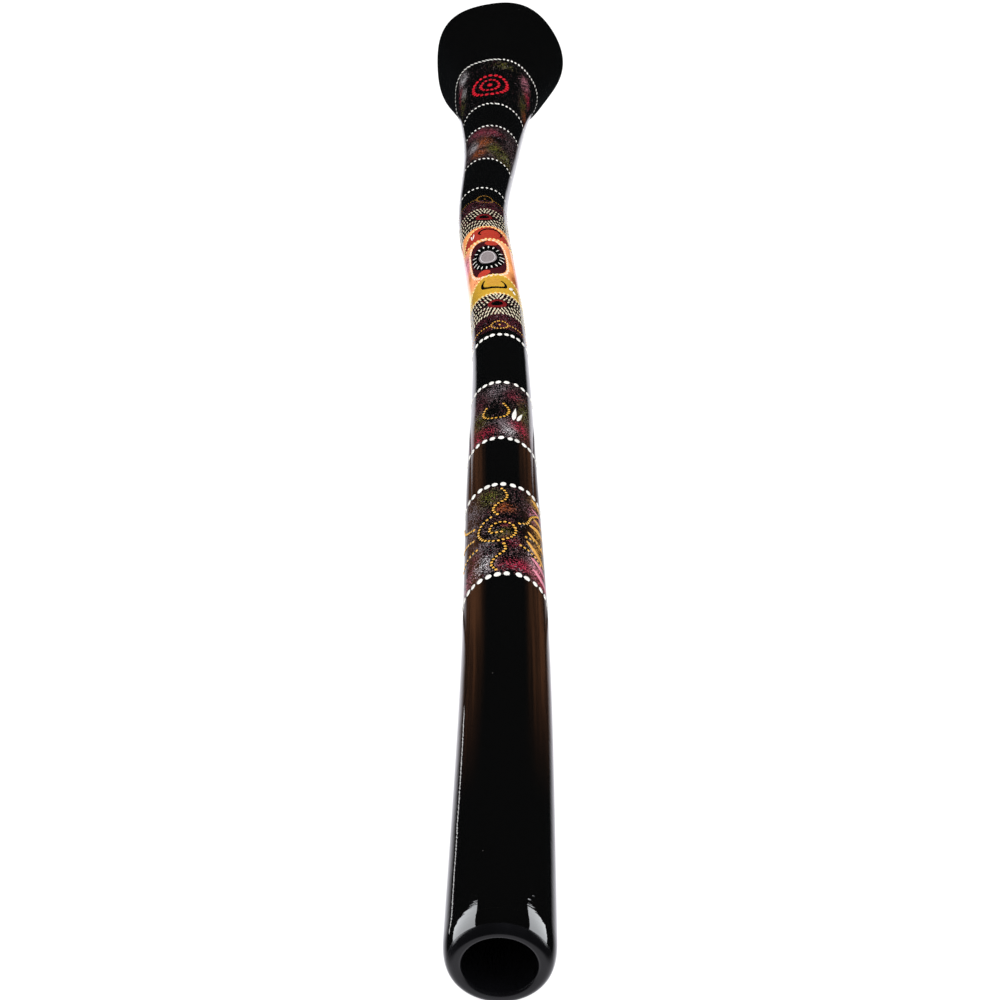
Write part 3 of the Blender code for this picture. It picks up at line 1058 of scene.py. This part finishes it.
def speckled(nodes, ground, scale, density, colour, shift):
    """Fine spray of a colour over a ground, as dense as asked."""
    vector = nodes.add("ShaderNodeVectorMath", operation="ADD")
    nodes.feed(vector.inputs[0], nodes.place)
    vector.inputs[1].default_value = (shift, 0.5 * shift, -shift)
    distance, chance, brightness = nodes.cells(scale, vector.outputs[0])
    near = nodes.ramp(distance, 0.50, 0.42)
    picked = nodes.math("LESS_THAN", chance, density)
    shade = nodes.mix(nodes.ramp(brightness, 0.0, 1.0, 0.25, 1.0), COLOURS["black"], colour)
    return nodes.mix(nodes.times(near, picked), ground, shade)


def lacquer(name):
    """Black gloss lacquer with a painted brown reflection at the sides and the sprayed bands under it."""
    nodes = Nodes(name)
    along = nodes.attribute("along", "Fac")
    aside = nodes.math("ABSOLUTE", nodes.attribute("aside", "Fac"))
    cover = nodes.attribute("cover", "Fac")
    solid = nodes.attribute("solid", "Fac")
    tint = nodes.attribute("tint", "Color")
    # Painted reflection: streaky brown, as mirrored from brown surroundings, is painted into the lacquer's
    # colour at the sides of the tube's near half.
    streaks = nodes.noise(1.0, 3.0, nodes.stretched(420, 7, 420))
    sides = nodes.times(nodes.ramp(aside, *BROWN_REFLECTION_SIDES), nodes.ramp(streaks, 0.30, 0.70, 0.25, 1.0))
    painted_brown_reflection = nodes.times(sides, nodes.ramp(along, *BROWN_REFLECTION_START), nodes.ramp(along, *BROWN_REFLECTION_END))
    ground = nodes.mix(painted_brown_reflection, COLOURS["black"], COLOURS["brown"])
    thick = nodes.times(cover, nodes.clouds(95, 3.0, 0.30, 0.68, 0.45, 1.35))
    second = nodes.mix(nodes.clouds(60, 2.0, 0.42, 0.60), COLOURS["maroon"], COLOURS["mauve"])
    colour = speckled(nodes, ground, 1500, nodes.times(thick, 0.9), tint, 0.0)
    colour = speckled(nodes, colour, 1150, nodes.times(thick, 0.28), second, 0.37)
    colour = speckled(nodes, colour, 950, nodes.times(thick, 0.62), tint, 0.71)
    even = nodes.mix(1.0, tint, nodes.clouds(70, 3.0, 0.35, 0.65, 0.80, 1.12), "MULTIPLY")
    flecks = nodes.clouds(45, 2.0, 0.52, 0.70, 0.0, 0.45)
    even = speckled(nodes, even, 800, flecks, COLOURS["deep_red"], 0.13)
    colour = nodes.mix(solid, colour, even)
    ripple = nodes.bump(nodes.noise(34, 1.0), 0.0006, 0.30)
    peel = nodes.bump(nodes.noise(150, 2.0), 0.00010, 0.30, ripple)
    grain = nodes.noise(1.0, 2.0, nodes.stretched(160, 520, 160))
    wet = nodes.bump(grain, 0.00010, 0.40, peel)
    dust, picked, _ = nodes.cells(260)
    speck = nodes.times(nodes.ramp(dust, 0.10, 0.05), nodes.math("LESS_THAN", picked, 0.02))
    worn = nodes.clouds(22, 4.0, 0.35, 0.75, 0.20, 0.34)
    nodes.set(Base_Color=nodes.mix(speck, colour, paint_colour(70, 68, 66)), Roughness=worn)
    nodes.set(Normal=nodes.bump(thick, 0.00008, 0.4), Coat_Normal=wet)
    nodes.set(Coat_Weight=1.0, Coat_Roughness=0.03, Coat_IOR=1.5, Specular_IOR_Level=0.0)
    return nodes.material


@functools.cache
def enamel(colour):
    """Thick brushed paint, slightly uneven from mark to mark and within each."""
    nodes = Nodes(colour + "_enamel")
    shade = nodes.ramp(nodes.attribute("shade", "Fac"), 0.0, 1.0, ENAMEL_SHADE, 1.0)
    level = nodes.times(nodes.clouds(420, 3.0, 0.30, 0.70, ENAMEL_SHADE, 1.0), shade)
    grime, picked, _ = nodes.cells(900)
    spot = nodes.times(nodes.ramp(grime, 0.30, 0.15), nodes.math("LESS_THAN", picked, 0.05))
    base = nodes.mix(1.0, COLOURS[colour], level, "MULTIPLY")
    base = nodes.mix(nodes.times(spot, 0.2), base, paint_colour(70, 60, 50))
    rough = nodes.clouds(300, 2.0, 0.3, 0.7, 0.19, 0.32)
    nodes.set(Base_Color=base, Roughness=rough, Normal=nodes.bump(nodes.noise(900, 3.0), 0.00004, 0.2))
    nodes.set(Coat_Weight=0.5, Coat_Roughness=0.08, Specular_IOR_Level=0.4)
    return nodes.material


def satin_resin(name):
    """The mouthpiece's resin: dark, rubbed to a satin by lips and hands."""
    nodes = Nodes(name)
    rubbed = nodes.noise(60, 4.0)
    hairs = nodes.noise(1.0, 3.0, nodes.stretched(900, 90, 900))
    rough = nodes.math("ADD", nodes.ramp(rubbed, 0.3, 0.7, 0.14, 0.22), nodes.times(hairs, 0.05))
    base = nodes.mix(nodes.ramp(rubbed, 0.35, 0.7), paint_colour(9, 9, 11), paint_colour(14, 14, 17))
    nodes.set(Base_Color=base, Roughness=rough, Normal=nodes.bump(nodes.noise(240, 3.0), 0.00006, 0.35))
    nodes.set(Specular_IOR_Level=0.26)
    return nodes.material


def gelcoat(name):
    """The bore's plain dark lining."""
    nodes = Nodes(name)
    base = nodes.mix(nodes.clouds(40, 4.0, 0.35, 0.7), paint_colour(10, 10, 11), paint_colour(24, 22, 22))
    rough = nodes.clouds(90, 3.0, 0.3, 0.7, 0.28, 0.50)
    waves = nodes.bump(nodes.noise(45, 2.0), 0.0008, 0.35)
    relief = nodes.bump(nodes.noise(320, 3.0), 0.00012, 0.5, waves)
    nodes.set(Base_Color=base, Roughness=rough, Normal=relief)
    return nodes.material


def glass_laminate(name):
    """Resin-soaked glass cloth: fibres crossing at right angles, dark where the resin is thick."""
    nodes = Nodes(name)
    weave = nodes.add("ShaderNodeTexChecker")
    nodes.feed(weave.inputs["Vector"], nodes.place)
    weave.inputs["Scale"].default_value = 420
    fibres = nodes.noise(1.0, 4.0, nodes.stretched(300, 2200, 300))
    mixed = nodes.math("MULTIPLY_ADD", weave.outputs["Fac"], 0.35, nodes.times(fibres, 0.65))
    base = nodes.mix(mixed, paint_colour(34, 32, 29), paint_colour(92, 86, 76))
    pooled = nodes.clouds(70, 3.0, 0.45, 0.70, 0.0, 0.6)
    nodes.set(Base_Color=nodes.mix(pooled, base, paint_colour(26, 23, 20)))
    nodes.set(Roughness=nodes.ramp(pooled, 0.0, 0.6, 0.55, 0.30), Normal=nodes.bump(mixed, 0.00025, 0.6))
    return nodes.material


# The studio.

def glow(name, colour, strength):
    """A plain glowing surface."""
    nodes = Nodes(name, glows=True)
    nodes.set(Color=colour, Strength=strength)
    return nodes


def studio_card(name, corners, nodes):
    """A flat shape through these corners, added to the scene for the studio."""
    mesh = bpy.data.meshes.new(name)
    mesh.from_pydata(corners, [], [tuple(range(len(corners)))])
    mesh.materials.append(nodes.material)
    item = add_object(name, mesh)
    return item


def floor_card(name, left, right, near, far, height, nodes):
    """A level rectangle."""
    corners = [(left, near, height), (right, near, height), (right, far, height), (left, far, height)]
    return studio_card(name, corners, nodes)


def reflected_only(item):
    """Show an object in glossy reflections and nowhere else."""
    for kind in ("camera", "diffuse", "transmission", "volume_scatter", "shadow"):
        setattr(item, "visible_" + kind, False)


def sheen_card(number, start, end, reach, strength):
    """A glow on the floor that only the lacquer mirrors, fading sideways and towards its ends."""
    name = f"floor_sheen_{number}"
    nodes = Nodes(name + "_glow", glows=True)
    split = nodes.add("ShaderNodeSeparateXYZ")
    nodes.feed(split.inputs[0], nodes.place)
    beside = nodes.ramp(nodes.math("ABSOLUTE", split.outputs["X"]), reach, 0.4 * reach)
    near = nodes.ramp(split.outputs["Y"], start, start + SHEEN_FADE)
    far = nodes.ramp(split.outputs["Y"], end, end - SHEEN_FADE)
    nodes.set(Color=(0.86, 0.85, 0.91, 1.0), Strength=nodes.times(strength, beside, near, far))
    reflected_only(floor_card(name, -reach, reach, start, end, 0.0, nodes))


def softbox(name, side, height, slant):
    """An upright light beside the mouth that shows only as a highlight, its far edge leaning forwards."""
    corners = [(-0.75, -0.05), (-0.36, -0.02), (-0.36 + slant, height), (-0.75, height)]
    light = glow(name + "_glow", (0.94, 0.97, 1.0, 1.0), 7.5)
    reflected_only(studio_card(name, [(side, y, z) for y, z in corners], light))


def make_floor():
    """A pale floor that reaches past the picture's edges, with the glows that the lacquer mirrors."""
    paper = Nodes("studio_paper")
    paper.set(Base_Color=(0.15, 0.15, 0.15, 1.0), Roughness=0.9, Specular_IOR_Level=0.0)
    paper.set(Emission_Color=(1.0, 1.0, 1.0, 1.0), Emission_Strength=0.95)
    floor = floor_card("studio_floor", -20, 20, -16, 24, -0.0004, paper)
    floor.visible_glossy = False
    for number, card in enumerate(FLOOR_SHEENS, 1):
        sheen_card(number, *card)
    light = glow("floor_line_glow", (1.0, 1.0, 1.0, 1.0), 3.0)
    reflected_only(floor_card("floor_line", -0.094, -0.084, -0.66, -0.46, 0.0005, light))


def make_world():
    """Soft white light from all round that the gloss hardly mirrors."""
    world = bpy.data.worlds.new("studio")
    bpy.context.scene.world = world
    world.use_nodes = True
    tree = world.node_tree
    tree.nodes.clear()
    choose = tree.nodes.new("ShaderNodeMixShader")
    path = tree.nodes.new("ShaderNodeLightPath")
    tree.links.new(path.outputs["Is Glossy Ray"], choose.inputs[0])
    for socket, colour in ((1, (1.0, 1.0, 1.0, 1.0)), (2, (0.008, 0.009, 0.010, 1.0))):
        light = tree.nodes.new("ShaderNodeBackground")
        light.inputs["Color"].default_value = colour
        tree.links.new(light.outputs[0], choose.inputs[socket])
    output = tree.nodes.new("ShaderNodeOutputWorld")
    tree.links.new(choose.outputs[0], output.inputs["Surface"])


def make_lights():
    """One broad light over the instrument, and the highlights beside the mouth end."""
    data = bpy.data.lights.new("overhead", "AREA")
    data.shape = "RECTANGLE"
    data.size = 2.2
    data.size_y = 3.2
    data.energy = 48
    lamp = add_object("overhead", data)
    lamp.location = (0.0, 0.1, 2.2)
    lamp.visible_glossy = False
    lamp.visible_camera = False
    softbox("left_softbox", -0.5, 0.52, 0.31)
    softbox("right_softbox", 0.5, 0.38, 0.20)


def make_camera():
    """The camera, a little over the mouth end and looking along the tube."""
    data = bpy.data.cameras.new("camera")
    data.lens = 54
    data.sensor_width = 36
    data.clip_end = 100
    camera = add_object("camera", data)
    camera.location = (-0.00006, -1.1842, 0.4935)
    camera.rotation_euler = (math.radians(61.498), 0.0, 0.0)
    bpy.context.scene.camera = camera


def make_instrument():
    """The tube, its mouthpiece and its lining."""
    lining = gelcoat("bore_gelcoat")
    edge = glass_laminate("shell_edge")
    for half in ("upper", "lower"):
        make_shell(half, [lacquer(half + "_gloss"), lining, edge])
    tape = glass_laminate("seam_cloth")
    make_seam_tape("right", 0.0, tape)
    make_seam_tape("left", math.pi, tape)
    make_mouthpiece([satin_resin("mouthpiece_satin"), lacquer("mouthpiece_lacquer")])


def make_paintwork():
    """All the raised paint marks, from the mouth to the bell."""
    for number, place in enumerate(WHITE_RINGS, 1):
        make_white_ring(number, place)
    make_first_band()
    make_second_band()
    make_eye_line("near_eye", 0.6255, 0.0, 0.0064, 0.0066, "yellow")
    make_dash_rows("near_zone", NEAR_DASHES)
    make_panel_pair()
    make_rosette()
    make_dash_rows("far_zone", FAR_DASHES)
    make_eye_line("far_eye", 0.9065, 0.0018, 0.0095, 0.0075, "old_gold")
    make_red_target()


def main():
    """Build the visual model and its studio."""
    make_instrument()
    make_paintwork()
    make_floor()
    make_world()
    make_lights()
    make_camera()
    bpy.context.scene.view_settings.view_transform = "Standard"


main()
